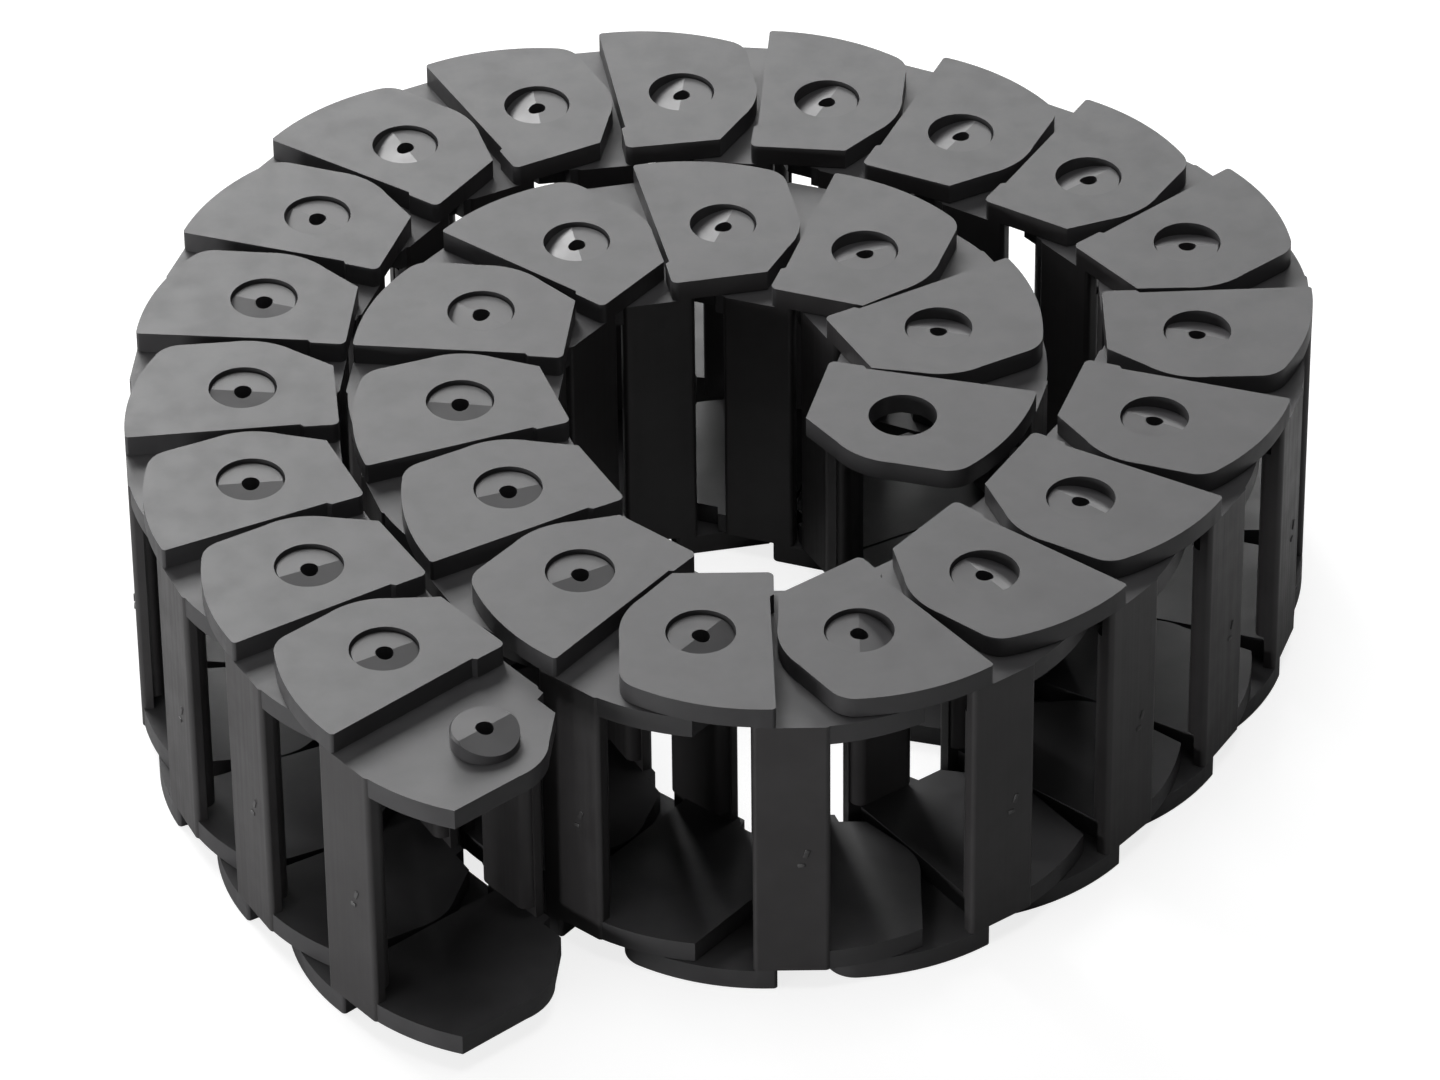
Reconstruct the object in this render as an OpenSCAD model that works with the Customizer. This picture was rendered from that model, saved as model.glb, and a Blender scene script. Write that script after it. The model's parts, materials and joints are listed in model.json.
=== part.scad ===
// Cable drag chain, coiled up and lying on its side, in millimetres.
//
// Every link is one moulding: two side plates joined by two crossbars, so that it closes round the
// cables. At the hole end the plates stand outside, at the pin end they are stepped in by a plate's
// thickness and carry a pin each, and the pins of one link snap into the holes of the link before it.
//
// A link's own frame: the hole axis is Z, +X runs from the hole to the pin, +Y is the side that the
// chain bends towards, and z = 0 is half-way between the plates.
// The part's frame: the chain lies on z = 0, and Z is the hole axis of the last link, whose holes are
// free. The first link's pins are free as well: end brackets fasten at both.

/* [Chain] */
// Number of links
link_count = 28; // [20:1:36]
// Distance from a link's holes to its pins
pitch = 36; // [30:0.5:46]
// Largest bend between two links, in degrees
max_bend = 43; // [32:1:46]

/* [Channel] */
// Clear width between the inner plates
inner_width = 61; // [20:1:150]
// From a pivot to the bars' face on the outside of the bend
outer_reach = 28.5; // [23:0.1:40]
// From a pivot to the bars' face on the inside of the bend
inner_reach = 21.8; // [18:0.1:27]

/* [Side plates] */
// Thickness of the inner plates, at the pin end
plate_t = 5.3; // [3:0.1:8]
// Thickness of the outer plates, at the hole end
cheek_t = 5.2; // [3:0.1:8]
// Play between an inner plate and the outer plate beside it
side_play = 0.2; // [0.1:0.05:0.5]
// Radius of the inner plate's tip round its pin
tip_r = 14.4; // [12:0.1:16.5]
// Play that is left at the straight stop and at the full-bend stop
stop_gap = 0.6; // [0.4:0.05:1]
// How far inside the round ends the stop flats lie
flat_cut = 0.1; // [0.05:0.05:0.3]
// Length over which the inner and the outer plate grow together
lap = 1.8; // [1.2:0.1:4]
// Radius of the plates' long edge on the outside of the bend
edge_r = 56; // [50:1:90]
// How far that edge's centres lie from the middle of the link
edge_shift = 3.3; // [0:0.1:6]
// Radius of the outer plate's lower corner
corner_r = 7; // [4:0.5:8]
// Radius of the outer plate's corner at the step, on the outside of the bend
step_corner_r = 1; // [0.5:0.1:2]
// Radius of the outer plate's corner at the step, on the inside of the bend
top_corner_r = 1.6; // [0.5:0.1:2]
// How much less than the full bend the outer plate's sloping flat leans, in degrees
flat_ease = 5; // [2:1:8]
// How far the inner plate's edge lies inside the bars' face
rim_drop = 0.5; // [0.3:0.1:1.5]
// Length of the slope from that edge down into the notch for the next link's bar
notch_slope = 1; // [0.5:0.1:2]
// How much deeper than a bar's skin the notch is
notch_extra = 0.2; // [0.1:0.1:1]

/* [Pins] */
// Radius of the pins
pin_r = 8; // [5:0.1:9.6]
// Play between a pin and its hole
pin_play = 0.08; // [0.04:0.01:0.1]
// How far a pin's top stays below the outer plate's face
pin_drop = 1; // [0:0.1:3]
// Edge break round a pin's top
pin_edge = 0.5; // [0.2:0.1:1]
// How far a pin's lead-in ramp falls towards the tip
ramp_drop = 2.4; // [1:0.1:3]
// Radius of the core hole through a pin
core_r = 2.1; // [1:0.1:3]

/* [Crossbars] */
// Thickness of a crossbar's skin
bar_t = 2.9; // [2:0.1:4]
// From the pins back to the crossbars
bar_back = 7; // [5:0.1:9]
// Play between the inner crossbars of two links at the full bend
bar_gap = 1.5; // [0.6:0.1:3]
// Rounding of the crossbars' long edges
bar_edge = 1.2; // [0.5:0.1:1.4]
// Height of the rounded pad inside a crossbar, where the cables run
pad_t = 3; // [1:0.1:4]
// How far the pad is set in from the crossbar's long edges
pad_inset = 0.6; // [0.2:0.1:2]
// How far the pad stops short of the side plates
pad_stop = 3; // [0:0.5:8]
// How much less than the pad's height its corner radius is
pad_flat = 0.4; // [0.2:0.1:0.8]

/* [Lay] */
// Share of the drawn bends that the chain is laid with
lay_share = 1; // [0.1:0.05:1]

/* [Hidden] */
$fn = 64;

// Bends of the coil as it lies, in whole degrees, from the last link outwards.
lay_bends = [43, 43, 30, 40, 32, 26, 9, 22, 40, 36, 14, 9, 12, 20, 38, 19, 7, 19, 14, 19, 28, 16, 13,
             11, 19, 6, 10];
// Bend between the links that a longer chain has beyond that list
spare_bend = 12;
// Pitch over plate height that those bends lay closely; a chain with taller plates is laid more openly
close_ratio = 36 / 50.3;
// Direction in which the last link's pins lie
last_heading = 75;

function name(i) = str("link_", i < 10 ? "0" : "", i);

// --- Levels, from the mid-plane outwards ---
plate_in = inner_width / 2;
plate_out = plate_in + plate_t;
cheek_in = plate_out + side_play;
cheek_out = cheek_in + cheek_t;
pin_top = cheek_out - pin_drop;

// --- Stops ---
hole_r = pin_r + pin_play;
tip_flat = tip_r - flat_cut;
wall_x = tip_r + stop_gap;                     // inside wall that the next link's tip meets
step_x = wall_x + lap;                         // where the outer plate ends
nose_r = pitch - step_x - stop_gap;            // round end of the outer plate
nose_flat = nose_r - flat_cut;
flat_lean = max_bend - flat_ease;
nose_top_x = (inner_reach * sin(flat_lean) - nose_flat) / cos(flat_lean);

// At the full bend the upper end of that flat dips below the next link's edge, which steps back there.
dip_x = -nose_top_x * cos(max_bend) + inner_reach * sin(max_bend);
dip_y = nose_top_x * sin(max_bend) + inner_reach * cos(max_bend);
relief_over = 2;
relief_rise = 0.8;
relief_x = min(step_x, pitch - dip_x - stop_gap);
relief_y = dip_y + relief_over;
relief_foot = relief_y - relief_rise;

// --- Crossbars ---
bar_start = inner_reach * sin(max_bend) - bar_back * cos(max_bend) + bar_gap;
bar_end = pitch - bar_back;
bar_w = bar_end - bar_start;

// --- Inner plate's edge on the inside of the bend ---
rim_y = inner_reach - rim_drop;
notch_y = inner_reach - bar_t - notch_extra;
swing_x = pitch + bar_start * cos(max_bend) - (inner_reach - bar_t) * sin(max_bend);
notch_x = swing_x - stop_gap;                  // clear of that bar's corner at the full bend

// --- Bends as laid ---
lay_ease = min(1, pitch / (outer_reach + inner_reach) / close_ratio);
function drawn_bend(k) = k < len(lay_bends) ? lay_bends[k] : spare_bend;
function bend(k) = min(max_bend, lay_share * lay_ease * drawn_bend(k));
function heading(i) = i == link_count ? last_heading : heading(i + 1) + bend(link_count - i - 1);
function hole(i) = i == link_count ? [0, 0] :
    hole(i + 1) + pitch * [cos(heading(i + 1)), sin(heading(i + 1))];

// Everything inside the plates' long edge, which is an arc round a centre at x
module inside_edge(x) {
    translate([x, edge_r - outer_reach]) circle(r = edge_r, $fn = 240);
}

// Outline of an outer plate, from its round nose to the step
module cheek_outline() {
    corner_x = corner_r - nose_flat;
    edge_x = pitch / 2 - edge_shift;
    centre_y = edge_r - outer_reach;
    corner_y = centre_y - sqrt(pow(edge_r - corner_r, 2) - pow(corner_x - edge_x, 2));
    beyond = (edge_r + 2) / (edge_r - corner_r);   // past the point where corner and edge meet
    beyond_x = edge_x + (corner_x - edge_x) * beyond;
    beyond_y = centre_y + (corner_y - centre_y) * beyond;
    intersection() {
        union() {
            intersection() {
                circle(r = nose_r);
                translate([-nose_r, -nose_r]) square([nose_r, nose_r + min(nose_r, inner_reach)]);
            }
            polygon([
                [step_x, inner_reach],
                [nose_top_x, inner_reach],
                [-nose_flat * cos(flat_lean), nose_flat * sin(flat_lean)],
                [-nose_flat, 0],
                [-nose_flat, corner_y],
                [corner_x, corner_y],
                [beyond_x, beyond_y],
                [beyond_x, -outer_reach - 1],
                [step_x, -outer_reach - 1],
                [relief_x, relief_foot],
                [step_x, relief_y],
            ]);
            translate([corner_x, corner_y]) circle(r = corner_r);
        }
        inside_edge(edge_x);
        step_corners(edge_x, centre_y);
    }
}

// Everything but the two sharp corners at the step, which are rounded
module step_corners(edge_x, centre_y) {
    low_x = step_x - step_corner_r;
    low_y = centre_y - sqrt(pow(edge_r - step_corner_r, 2) - pow(low_x - edge_x, 2));
    top_x = step_x - top_corner_r;
    top_y = inner_reach - top_corner_r;
    difference() {
        translate([-pitch, -2 * outer_reach]) square([3 * pitch, 4 * outer_reach]);
        difference() {
            translate([low_x, -2 * outer_reach]) square([pitch, low_y + 2 * outer_reach]);
            translate([low_x, low_y]) circle(r = step_corner_r);
        }
        difference() {
            translate([top_x, top_y]) square(pitch);
            translate([top_x, top_y]) circle(r = top_corner_r);
        }
    }
}

// Outline of an inner plate, from the inside wall to its tip round the pin
module plate_outline() {
    tip_x = tip_flat * cos(max_bend);
    tip_y = tip_flat * sin(max_bend);
    slope_x = tip_x + (tip_y - notch_y) * tan(max_bend);
    union() {
        intersection() {
            polygon([
                [wall_x, rim_y],
                [notch_x, rim_y],
                [notch_x + notch_slope, notch_y],
                [pitch + slope_x, notch_y],
                [pitch + tip_x, tip_y],
                [pitch + tip_flat, 0],
                [pitch + tip_flat, -outer_reach - 1],
                [wall_x, -outer_reach - 1],
            ]);
            inside_edge(pitch / 2 + edge_shift);
        }
        translate([pitch, 0]) circle(r = tip_r);
    }
}

// A pin with its core hole left out; the ramp lets it slide under the outer plate
module pin() {
    difference() {
        union() {
            translate([0, 0, plate_in]) cylinder(r = pin_r, h = pin_top - pin_edge - plate_in);
            translate([0, 0, pin_top - pin_edge])
                cylinder(r1 = pin_r, r2 = pin_r - pin_edge, h = pin_edge);
        }
        translate([0, pin_r + 1, 0]) rotate([90, 0, 0]) linear_extrude(2 * pin_r + 2)
            polygon([
                [0, pin_top],
                [pin_r, pin_top - ramp_drop],
                [2 * pin_r, pin_top - 2 * ramp_drop],
                [2 * pin_r, pin_top + 1],
                [0, pin_top + 1],
            ]);
    }
}

// One side of a link: outer plate with its hole, inner plate with its pin, and the step between them
module side() {
    difference() {
        union() {
            translate([0, 0, cheek_in]) linear_extrude(cheek_t) cheek_outline();
            translate([0, 0, plate_in]) linear_extrude(plate_t) plate_outline();
            translate([0, 0, plate_in]) linear_extrude(cheek_out - plate_in) intersection() {
                cheek_outline();
                union() {
                    translate([wall_x, -outer_reach]) square([pitch, outer_reach + inner_reach]);
                    skins();
                }
            }
            translate([pitch, 0, 0]) pin();
        }
        translate([0, 0, plate_in - 1]) cylinder(r = hole_r, h = cheek_out - plate_in + 2);
        translate([pitch, 0, plate_in - 1]) cylinder(r = core_r, h = cheek_out - plate_in + 2);
    }
}

// Section of a crossbar's skin: the outer face is at y = 0, its long edges are round, and the channel
// lies towards +y
module skin_section() {
    difference() {
        square([bar_w, bar_t]);
        for (side = [0, 1])
            translate([side * bar_w, 0]) mirror([side, 0]) difference() {
                translate([-1, -1]) square(bar_edge + 1);
                translate([bar_edge, bar_edge]) circle(r = bar_edge);
            }
    }
}

// Both skins' sections, where they lie in the link
module skins() {
    translate([bar_start, -outer_reach]) skin_section();
    translate([bar_start, inner_reach]) mirror([0, 1]) skin_section();
}

// Section of the pad, from inside the skin to the channel
module pad_section() {
    round_r = pad_t - pad_flat;
    sunk = bar_t / 4;
    top = bar_t + pad_t;
    left = pad_inset + round_r;
    right = bar_w - pad_inset - round_r;
    translate([pad_inset, bar_t - sunk]) square([bar_w - 2 * pad_inset, top - round_r - bar_t + sunk]);
    translate([left, bar_t - sunk]) square([right - left, pad_t + sunk]);
    for (x = [left, right]) translate([x, top - round_r]) circle(r = round_r);
}

module crossbars() {
    linear_extrude(2 * plate_out, center = true) skins();
    linear_extrude(2 * (plate_in - pad_stop), center = true) {
        translate([bar_start, -outer_reach]) pad_section();
        translate([bar_start, inner_reach]) mirror([0, 1]) pad_section();
    }
}

// A whole link in its own frame
module link() {
    color([0.13, 0.13, 0.14]) union() {
        side();
        mirror([0, 0, 1]) side();
        crossbars();
    }
}

for (i = [1 : link_count]) translate([hole(i).x, hole(i).y, cheek_out]) rotate([0, 0, heading(i)]) link();
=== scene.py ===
import json
import math

import bmesh
import bpy
from mathutils import Matrix, Vector


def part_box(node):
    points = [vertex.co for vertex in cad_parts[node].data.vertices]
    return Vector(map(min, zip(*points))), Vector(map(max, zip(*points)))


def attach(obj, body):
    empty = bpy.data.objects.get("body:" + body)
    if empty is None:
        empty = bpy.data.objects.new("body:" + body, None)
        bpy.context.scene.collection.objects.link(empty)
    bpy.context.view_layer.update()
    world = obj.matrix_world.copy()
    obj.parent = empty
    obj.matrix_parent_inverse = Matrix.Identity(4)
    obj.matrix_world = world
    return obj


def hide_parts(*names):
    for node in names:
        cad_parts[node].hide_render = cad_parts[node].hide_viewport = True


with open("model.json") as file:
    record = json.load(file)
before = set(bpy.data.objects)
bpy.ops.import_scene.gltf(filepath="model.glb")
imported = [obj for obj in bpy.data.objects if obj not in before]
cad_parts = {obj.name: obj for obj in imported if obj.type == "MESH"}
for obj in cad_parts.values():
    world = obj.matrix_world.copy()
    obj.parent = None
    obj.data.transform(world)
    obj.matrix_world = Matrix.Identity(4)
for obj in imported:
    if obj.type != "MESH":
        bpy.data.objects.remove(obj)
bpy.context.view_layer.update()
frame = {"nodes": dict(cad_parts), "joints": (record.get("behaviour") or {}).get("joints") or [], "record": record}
scene = bpy.context.scene
scene.view_settings.view_transform = "Standard"

view = {
    "lens": 216,                          # mm
    "sensor": 36,
    "place": (-0.0432, -1.6234, 1.2964),
    "target": (-0.0432, -0.0459, 0.0814),
    "roll": -0.615,                       # degrees
    "farEnd": 20,
}


def makeCamera(spec):
    data = bpy.data.cameras.new("camera")
    data.lens = spec["lens"]
    data.sensor_width = spec["sensor"]
    data.clip_end = spec["farEnd"]
    camera = bpy.data.objects.new("camera", data)
    scene.collection.objects.link(camera)
    place, target = Vector(spec["place"]), Vector(spec["target"])
    turn = (target - place).to_track_quat("-Z", "Y").to_matrix().to_4x4()
    roll = Matrix.Rotation(math.radians(spec["roll"]), 4, "Z")
    camera.matrix_world = Matrix.Translation(place) @ turn @ roll
    scene.camera = camera


makeCamera(view)
print("camera placed")

linkNames = sorted(frame["nodes"])
lastLink = linkNames[-1]                  # its holes are free, and their axis is the part's Z


def linkPlaces():
    # a link's own frame: hole axis on Z, pins towards +X, z = 0 half-way between the plates
    holes = {joint["child"]: Vector(joint["pos_m"]) for joint in frame["joints"]}
    holes[lastLink] = Vector((0, 0, 0))
    mounts = {mount["name"]: mount for mount in frame["record"]["mounts"]}
    freePin = Vector(mounts["bracket_pin_upper"]["pos_m"])
    low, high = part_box(lastLink)
    middle = (low[2] + high[2]) / 2
    places = {}
    for number, name in enumerate(linkNames):
        hole = holes[name]
        pin = holes[linkNames[number - 1]] if number else freePin
        heading = math.atan2(pin.y - hole.y, pin.x - hole.x)
        move = Matrix.Translation((hole.x, hole.y, middle))
        places[name] = move @ Matrix.Rotation(heading, 4, "Z")
    return places


places = linkPlaces()

moulding = {
    "pitch": 0.036,
    "pinR": 0.008,
    "coreR": 0.0021,        # the hole down a pin's middle
    "coreFloor": 0.0325,    # and where its blind end lies
    "plateIn": 0.0305,      # from the middle to the inner plates' inside
    "plateOut": 0.0358,     # and to their outside
    "outerReach": 0.0285,   # from the pivots to the outer crossbar's face
    "mergeGap": 0.000002,
    "flatAngle": 0.5,       # degrees; triangles nearer to one plane than this become one face
    "edgeRound": 0.0006,    # at most; the bevel's clamp leaves 0.0000034 on every edge
    "edgeSteps": 2,
    "edgeAngle": 28,        # a sharper edge gets the round
    "creaseAngle": 40,
    "pinCrease": 6,         # the shallow ridge across a pin's top stays crisp
    "flatWeight": 100,      # how much the large faces lead the smooth shading
}

# how a face is told by its middle and its normal
sorting = {
    "coreSlack": 0.0001,    # a core's wall lies this near to its radius
    "wallSlope": 0.3,       # and its normal has less of Z than this
    "barSlack": 0.00005,
    "pinSlack": 0.0002,
    "pinFoot": 0.0004,      # above the plate, where the pin's finish starts
    "topSlope": 0.8,        # a pin's top has more of Z than this
}

gateMark = {
    "x": 0.0235,
    "z": -0.001,
    "tick": (0.0011, 0.0024),     # width and height of the slanted scar
    "slant": 20,                  # degrees
    "dot": (0.0017, 0.0010),
    "dotDrop": 0.0034,
    "dotShift": 0.35,             # sideways, for each unit of drop
    "pale": 2,                    # on the rim layer, where 1 is an edge crest with its paler rub and painted highlight
    "proud": 0.0003,
    "rounding": 0.8,              # of the height that it stands proud
}


def closeCores(shape, spec, limits):
    # the mould's core stops inside the plate, so the channel's side shows no hole
    def onCore(face, side):
        centre = face.calc_center_median()
        reach = math.hypot(centre.x - spec["pitch"], centre.y)
        upright = abs(face.normal.z) < limits["wallSlope"]
        return upright and reach < spec["coreR"] + limits["coreSlack"] and centre.z * side > 0

    for side in (-1, 1):
        wall = [face for face in shape.faces if onCore(face, side)]
        edges = dict.fromkeys(edge for face in wall for edge in face.edges)
        verts = dict.fromkeys(vert for face in wall for vert in face.verts)
        bmesh.ops.bisect_plane(shape, geom=[*wall, *edges, *verts],
                               plane_co=(0, 0, side * spec["coreFloor"]), plane_no=(0, 0, 1))
        beyond = [face for face in shape.faces
                  if onCore(face, side) and face.calc_center_median().z * side < spec["coreFloor"]]
        bmesh.ops.delete(shape, geom=beyond, context="FACES")
    rings = [edge for edge in shape.edges if edge.is_boundary]
    made = bmesh.ops.holes_fill(shape, edges=rings, sides=0)
    bmesh.ops.recalc_face_normals(shape, faces=shape.faces)
    stillOpen = sum(edge.is_boundary for edge in shape.edges)
    print("cores closed:", len(made["faces"]), "faces;", stillOpen, "open edges")


def roundEdges(shape, spec):
    # the rim layer is 1 on the crest of each rounded edge and 0 on the faces beside it; the nylon's paler edge
    # colour, partly rubbed wear and partly painted highlight, follows it
    rim = shape.verts.layers.float.new("rim")
    sharp = math.radians(spec["edgeAngle"])
    edges = [edge for edge in shape.edges if edge.calc_face_angle(0) > sharp]
    made = bmesh.ops.bevel(shape, geom=edges, offset=spec["edgeRound"], segments=spec["edgeSteps"],
                           profile=0.5, affect="EDGES", clamp_overlap=True, material=-1)
    rounds = set(made["faces"])
    for vert in shape.verts:
        vert[rim] = 1.0 if all(face in rounds for face in vert.link_faces) else 0.0


def addGateMark(shape, spec, face):
    # the scar that the gate leaves on the outer crossbar: a slanted tick with a dot under it
    rim = shape.verts.layers.float["rim"]
    tilt = Matrix.Rotation(math.radians(spec["slant"]), 4, "Y")
    marks = ((spec["tick"], 0, tilt), (spec["dot"], spec["dotDrop"], Matrix.Identity(4)))
    for (width, height), drop, turn in marks:
        across = spec["x"] - drop * spec["dotShift"]
        place = Matrix.Translation((across, -face, spec["z"] - drop))
        scale = Matrix.Diagonal((width, 2 * spec["proud"], height, 1))
        made = bmesh.ops.create_cube(shape, size=1, matrix=place @ turn @ scale)
        for vert in made["verts"]:
            vert[rim] = spec["pale"]
        edges = list(dict.fromkeys(edge for vert in made["verts"] for edge in vert.link_edges))
        bmesh.ops.bevel(shape, geom=edges, offset=spec["proud"] * spec["rounding"], segments=2,
                        profile=0.5, affect="EDGES", clamp_overlap=True, material=-1)


def shareFinishes(shape, spec, limits):
    # 0 is the plates' finish, 1 the crossbars' and 2 the pins'
    for face in shape.faces:
        centre = face.calc_center_median()
        fromPin = math.hypot(centre.x - spec["pitch"], centre.y)
        outside = abs(centre.z) > spec["plateOut"] + limits["pinFoot"]
        if abs(centre.z) < spec["plateIn"] - limits["barSlack"]:
            face.material_index = 1
        elif outside and fromPin < spec["pinR"] + limits["pinSlack"]:
            face.material_index = 2


def markCreases(shape, spec, limits):
    for face in shape.faces:
        face.smooth = True
    for edge in shape.edges:
        onPin = all(face.material_index == 2 for face in edge.link_faces)
        onTop = all(abs(face.normal.z) > limits["topSlope"] for face in edge.link_faces)
        crease = math.radians(spec["pinCrease" if onPin and onTop else "creaseAngle"])
        edge.smooth = edge.calc_face_angle(0) < crease


def linkMesh(node, place):
    shape = bmesh.new()
    shape.from_mesh(frame["nodes"][node].data)
    shape.transform(place.inverted())
    bmesh.ops.remove_doubles(shape, verts=shape.verts, dist=moulding["mergeGap"])
    closeCores(shape, moulding, sorting)
    bmesh.ops.dissolve_limit(shape, angle_limit=math.radians(moulding["flatAngle"]),
                             verts=shape.verts, edges=shape.edges)
    roundEdges(shape, moulding)
    addGateMark(shape, gateMark, moulding["outerReach"])
    shareFinishes(shape, moulding, sorting)
    markCreases(shape, moulding, sorting)
    inLink = shape.verts.layers.float_vector.new("inLink")
    for vert in shape.verts:
        vert[inLink] = vert.co            # the place in the link's own frame, for the pins' rings
    mesh = bpy.data.meshes.new("link")
    shape.to_mesh(mesh)
    shape.free()
    return mesh


pattern = linkMesh(lastLink, places[lastLink])
print("link modelled:", len(pattern.polygons), "faces")


def makeGroup(name, takes, gives):
    tree = bpy.data.node_groups.new(name, "ShaderNodeTree")
    for way, sockets in (("INPUT", takes), ("OUTPUT", gives)):
        for label, kind in sockets.items():
            tree.interface.new_socket(label, in_out=way, socket_type="NodeSocket" + kind)
    return tree, tree.nodes.new("NodeGroupInput").outputs, tree.nodes.new("NodeGroupOutput").inputs


def addNode(tree, kind, **values):
    node = tree.nodes.new("ShaderNode" + kind)
    for key, value in values.items():
        setattr(node, key, value)
    return node


def feed(tree, socket, entry):
    # an entry is another node's output or a plain value
    if isinstance(entry, bpy.types.NodeSocket):
        tree.links.new(entry, socket)
    elif entry is not None:
        socket.default_value = entry


def addNoise(tree, vector, scale, detail=2, roughness=0.5):
    noise = addNode(tree, "TexNoise")
    entries = {"Vector": vector, "Scale": scale, "Detail": detail, "Roughness": roughness}
    for label, entry in entries.items():
        feed(tree, noise.inputs[label], entry)
    return noise.outputs["Fac"]


def calculate(tree, operation, first, second=None, third=None):
    node = addNode(tree, "Math", operation=operation)
    for socket, entry in zip(node.inputs, (first, second, third)):
        feed(tree, socket, entry)
    return node.outputs[0]


def spread(tree, value, fromRange, toRange):
    node = addNode(tree, "MapRange", interpolation_type="SMOOTHSTEP")
    for socket, entry in zip(node.inputs, (value, *fromRange, *toRange)):
        feed(tree, socket, entry)
    return node.outputs["Result"]


def mixColours(tree, factor, first, second):
    node = addNode(tree, "Mix", data_type="RGBA")
    for label, entry in (("Factor", factor), ("A", first), ("B", second)):
        feed(tree, next(s for s in node.inputs if s.name == label and s.enabled), entry)
    return next(s for s in node.outputs if s.enabled)


skinPattern = {
    "waves": {"scale": 75, "detail": 1},
    "grain": {"scale": 2600},
}


def mouldedSkin(spec):
    # slow waves where the wall shrank, and the fine grain of the eroded mould
    tree, takes, gives = makeGroup(
        "mouldedSkin", {"Vector": "Vector", "Waves": "Float", "Grain": "Float"}, {"Height": "Float"})
    waves = addNoise(tree, takes["Vector"], **spec["waves"])
    grain = addNoise(tree, takes["Vector"], **spec["grain"])
    slow = calculate(tree, "MULTIPLY", waves, takes["Waves"])
    tree.links.new(calculate(tree, "MULTIPLY_ADD", grain, takes["Grain"], slow), gives["Height"])
    return tree


tonePattern = {
    "clouds": {"scale": 55, "detail": 4, "roughness": 0.6},
    "cloudFrom": (0.35, 0.7),
    "cloudTo": (0, 1),
    "patches": {"scale": 260, "detail": 3},
    "patchFrom": (0.4, 0.62),
    "patchTo": (0.25, 1),         # no edge crest is left quite without the paler rub and painted highlight
}


def nylonTone(spec):
    # cloudy shades in the nylon, and paler edge crests, partly rubbed wear and partly painted highlight
    tree, takes, gives = makeGroup(
        "nylonTone",
        {"Vector": "Vector", "Shade": "Color", "Cloud": "Color", "Rub_and_highlight": "Color", "Rub_highlight_share": "Float"},
        {"Color": "Color", "RubHighlightFactor": "Float"})
    cloudNoise = addNoise(tree, takes["Vector"], **spec["clouds"])
    clouds = spread(tree, cloudNoise, spec["cloudFrom"], spec["cloudTo"])
    body = mixColours(tree, clouds, takes["Shade"], takes["Cloud"])
    # the edge crests get the paler colour: partly rubbed wear, partly a painted highlight along the rounded edges
    rim = addNode(tree, "Attribute", attribute_name="rim").outputs["Fac"]
    patchNoise = addNoise(tree, takes["Vector"], **spec["patches"])
    patches = spread(tree, patchNoise, spec["patchFrom"], spec["patchTo"])
    rub_and_highlight = calculate(tree, "MULTIPLY", rim, patches)
    rubHighlightFactor = calculate(tree, "MULTIPLY", rub_and_highlight, takes["Rub_highlight_share"])
    tree.links.new(mixColours(tree, rubHighlightFactor, body, takes["Rub_and_highlight"]), gives["Color"])
    tree.links.new(rubHighlightFactor, gives["RubHighlightFactor"])
    return tree


skinGroup = mouldedSkin(skinPattern)
toneGroup = nylonTone(tonePattern)

# In each finish, the paler edge colour and its amount are partly rubbed wear and partly a painted highlight on the
# edge crests.
finishes = {
    "plateNylon": {
        "shade": (0.042, 0.041, 0.043, 1),
        "cloud": (0.052, 0.051, 0.053, 1),
        "rub_and_highlight": (0.11, 0.11, 0.11, 1),
        "rub_highlight_share": 0.7,
        "roughness": (0.38, 0.50),
        "waves": 0.000014,        # heights in metres
        "grain": 0.0000025,
    },
    "barNylon": {
        "shade": (0.036, 0.034, 0.035, 1),
        "cloud": (0.044, 0.042, 0.043, 1),
        "rub_and_highlight": (0.09, 0.09, 0.09, 1),
        "rub_highlight_share": 0.5,
        "roughness": (0.30, 0.46),
        "waves": 0.00002,
        "grain": 0.0000015,
        "streaks": 0.000006,      # height of the lines that the mould's opening draws
    },
    "pinNylon": {
        "shade": (0.046, 0.045, 0.047, 1),
        "cloud": (0.054, 0.053, 0.055, 1),
        "rub_and_highlight": (0.12, 0.12, 0.12, 1),
        "rub_highlight_share": 0.8,
        "roughness": (0.32, 0.42),
        "waves": 0.000006,
        "grain": 0.000001,
        "rings": 0.0000012,       # height of the turned core's tool marks
        "ringStep": 0.0004,
    },
}

gloss = {
    "ior": 1.53,
    "blotches": {"scale": 120, "detail": 4, "roughness": 0.6},
    "from": (0.32, 0.68),
    "streaks": {"scale": 900, "detail": 3, "roughness": 0.65},
    "streakStretch": (1, 1, 0.02),      # they run along Z, as the mould opens
    "streakShare": 0.6,                 # of the gloss; the blotches have the rest
    "wornRougher": 0.08,
}


def drawnStreaks(tree, vector):
    stretch = addNode(tree, "Mapping")
    stretch.inputs["Scale"].default_value = gloss["streakStretch"]
    tree.links.new(vector, stretch.inputs["Vector"])
    return addNoise(tree, stretch.outputs["Vector"], **gloss["streaks"])


def turnedRings(tree, step):
    # rings round the pin's axis, wherever the link lies
    inLink = addNode(tree, "Attribute", attribute_name="inLink").outputs["Vector"]
    fromPin = addNode(tree, "VectorMath", operation="MULTIPLY_ADD")
    for socket, entry in zip(fromPin.inputs, (inLink, (1, 1, 0), (-moulding["pitch"], 0, 0))):
        feed(tree, socket, entry)
    radius = addNode(tree, "VectorMath", operation="LENGTH")
    tree.links.new(fromPin.outputs["Vector"], radius.inputs[0])
    turns = calculate(tree, "MULTIPLY", radius.outputs["Value"], 2 * math.pi / step)
    return calculate(tree, "SINE", turns)


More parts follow.
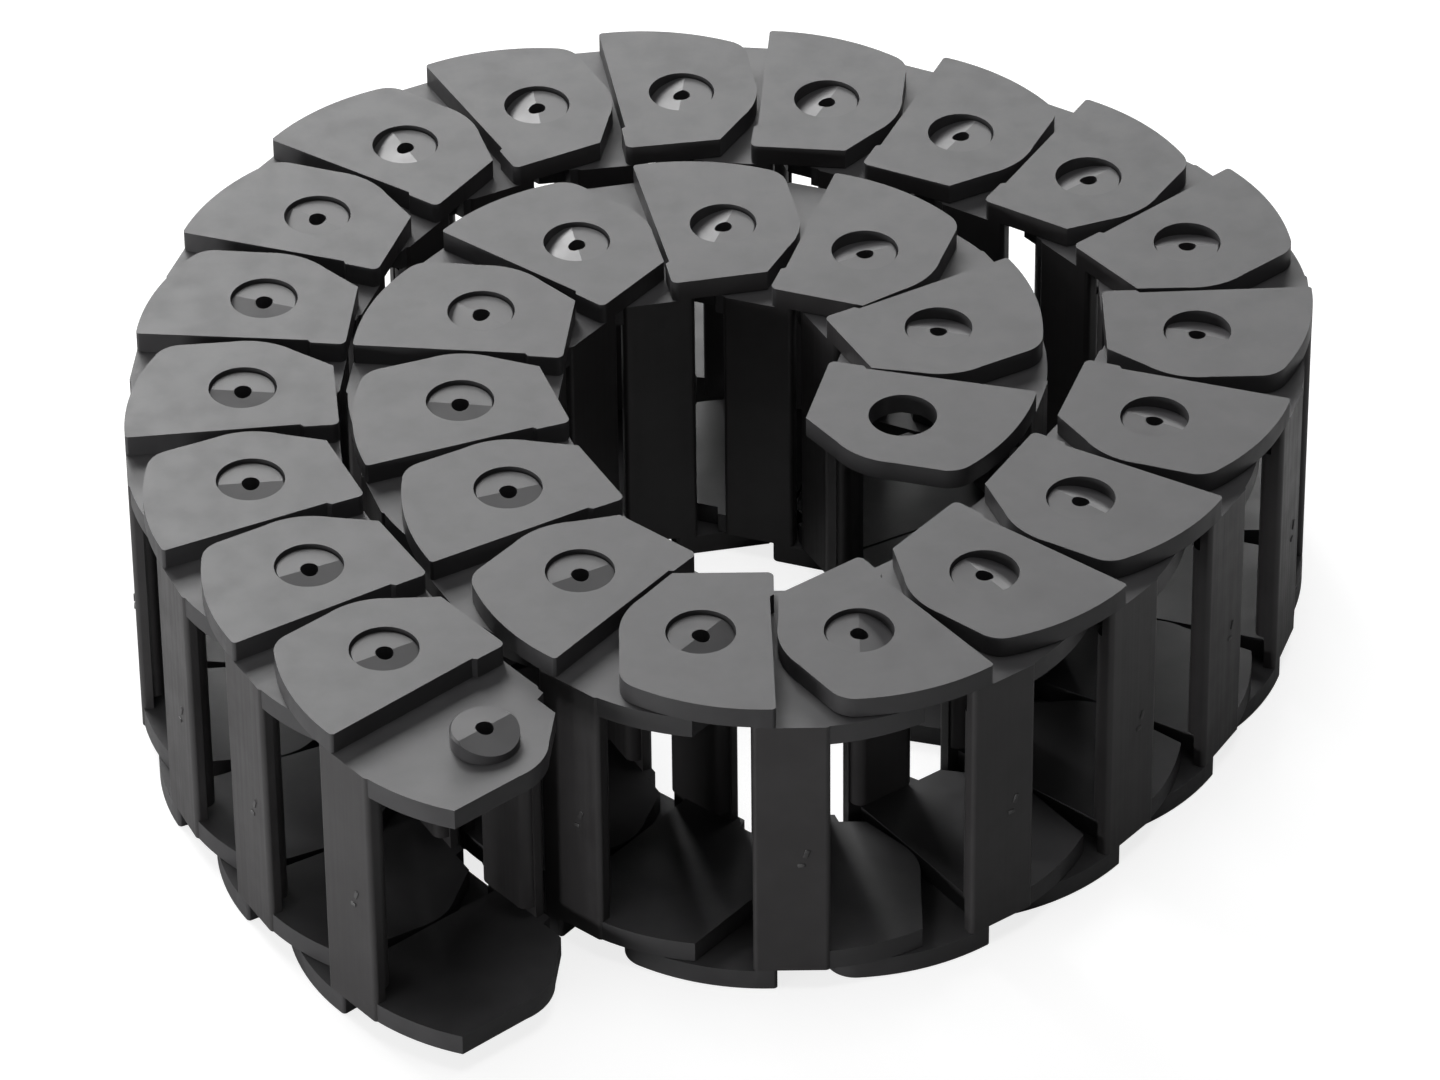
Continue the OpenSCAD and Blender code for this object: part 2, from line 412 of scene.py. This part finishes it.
def finishNylon(name, spec):
    mat = bpy.data.materials.new(name)
    mat.use_nodes = True
    tree = mat.node_tree
    shader = tree.nodes["Principled BSDF"]
    shader.inputs["IOR"].default_value = gloss["ior"]
    vector = addNode(tree, "TexCoord").outputs["Object"]

    tone = addNode(tree, "Group", node_tree=toneGroup)
    for label in ("shade", "cloud", "rub_and_highlight", "rub_highlight_share"):
        tone.inputs[label.capitalize()].default_value = spec[label]
    tree.links.new(vector, tone.inputs["Vector"])
    tree.links.new(tone.outputs["Color"], shader.inputs["Base Color"])

    skin = addNode(tree, "Group", node_tree=skinGroup)
    for label in ("waves", "grain"):
        skin.inputs[label.capitalize()].default_value = spec[label]
    tree.links.new(vector, skin.inputs["Vector"])
    height = skin.outputs["Height"]
    blotches = addNoise(tree, vector, **gloss["blotches"])

    if "streaks" in spec:
        streaks = drawnStreaks(tree, vector)
        height = calculate(tree, "MULTIPLY_ADD", streaks, spec["streaks"], height)
        rest = calculate(tree, "MULTIPLY", blotches, 1 - gloss["streakShare"])
        blotches = calculate(tree, "MULTIPLY_ADD", streaks, gloss["streakShare"], rest)
    if "rings" in spec:
        rings = turnedRings(tree, spec["ringStep"])
        height = calculate(tree, "MULTIPLY_ADD", rings, spec["rings"], height)

    rough = spread(tree, blotches, gloss["from"], spec["roughness"])
    worn = calculate(tree, "MULTIPLY_ADD", tone.outputs["RubHighlightFactor"], gloss["wornRougher"], rough)
    tree.links.new(worn, shader.inputs["Roughness"])
    bump = addNode(tree, "Bump")
    bump.inputs["Distance"].default_value = 1
    tree.links.new(height, bump.inputs["Height"])
    tree.links.new(bump.outputs["Normal"], shader.inputs["Normal"])
    return mat


nylons = [finishNylon(name, spec) for name, spec in finishes.items()]
print("nylon mixed:", len(nylons), "finishes")


def placeLinks():
    for name, place in places.items():
        mesh = pattern.copy()
        mesh.transform(place)
        for nylon in nylons:
            mesh.materials.append(nylon)
        link = bpy.data.objects.new(name + "_moulding", mesh)
        scene.collection.objects.link(link)
        flat = link.modifiers.new("flatFaces", "WEIGHTED_NORMAL")
        flat.weight = moulding["flatWeight"]
        flat.keep_sharp = True
        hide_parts(name)
        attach(link, name)
    bpy.data.meshes.remove(pattern)


placeLinks()
print("links placed:", len(places))

studio = {
    "floorSize": 6,
    "floorDrop": 0.0003,      # under the links, so that the two never share a plane
    "floorShade": 0.4,        # what lights the links from below
    "floorWhite": 0.4,        # what the camera sees, with the glow on top
    "floorGlow": 0.8,
    "worldShade": 0.1,
    "worldWhite": 1,
    "aim": (0, 0, 0.05),      # where the lamps point
    "lamps": {
        "keyLamp": {"place": (-0.75, 1.1, 1.15), "size": (0.9, 0.7), "power": 24},
        "backLamp": {"place": (0.0, 1.6, 0.7), "size": (1.2, 0.5), "power": 11.5},
        "topLamp": {"place": (0.0, 0.0, 1.8), "size": (1.0, 1.0), "power": 12},
        "sideLamp": {"place": (-1.6, 0.5, 0.5), "size": (0.7, 0.7), "power": 4},
        "lowLamp": {"place": (-1.25, -0.95, 0.14), "size": (0.8, 0.22), "power": 14},
    },
}


def whiteForCamera(tree, shade, white):
    # the camera sees the white, and everything else the shade
    seen = addNode(tree, "LightPath").outputs["Is Camera Ray"]
    return seen, mixColours(tree, seen, (shade, shade, shade, 1), (white, white, white, 1))


def makeFloor(spec):
    shape = bmesh.new()
    bmesh.ops.create_grid(shape, x_segments=1, y_segments=1, size=spec["floorSize"],
                          matrix=Matrix.Translation((0, 0, -spec["floorDrop"])))
    mesh = bpy.data.meshes.new("floor")
    shape.to_mesh(mesh)
    shape.free()
    floor = bpy.data.objects.new("floor", mesh)
    scene.collection.objects.link(floor)
    mat = bpy.data.materials.new("paleFloor")
    mat.use_nodes = True
    tree = mat.node_tree
    shader = tree.nodes["Principled BSDF"]
    shader.inputs["Roughness"].default_value = 1
    shader.inputs["Specular IOR Level"].default_value = 0
    shader.inputs["Emission Color"].default_value = (1, 1, 1, 1)
    seen, shade = whiteForCamera(tree, spec["floorShade"], spec["floorWhite"])
    glow = calculate(tree, "MULTIPLY", seen, spec["floorGlow"])
    tree.links.new(shade, shader.inputs["Base Color"])
    tree.links.new(glow, shader.inputs["Emission Strength"])
    mesh.materials.append(mat)


def makeLamp(name, spec, aim):
    data = bpy.data.lights.new(name, "AREA")
    data.shape = "RECTANGLE"
    data.size, data.size_y = spec["size"]
    data.energy = spec["power"]
    lamp = bpy.data.objects.new(name, data)
    scene.collection.objects.link(lamp)
    lamp.location = spec["place"]
    look = Vector(aim) - Vector(spec["place"])
    lamp.rotation_euler = look.to_track_quat("-Z", "Y").to_euler()


def makeWorld(spec):
    world = bpy.data.worlds.new("studio")
    scene.world = world
    world.use_nodes = True
    tree = world.node_tree
    shade = whiteForCamera(tree, spec["worldShade"], spec["worldWhite"])[1]
    tree.links.new(shade, tree.nodes["Background"].inputs["Color"])


makeFloor(studio)
for lampName, lampSpec in studio["lamps"].items():
    makeLamp(lampName, lampSpec, studio["aim"])
makeWorld(studio)
print("floor and lamps set")
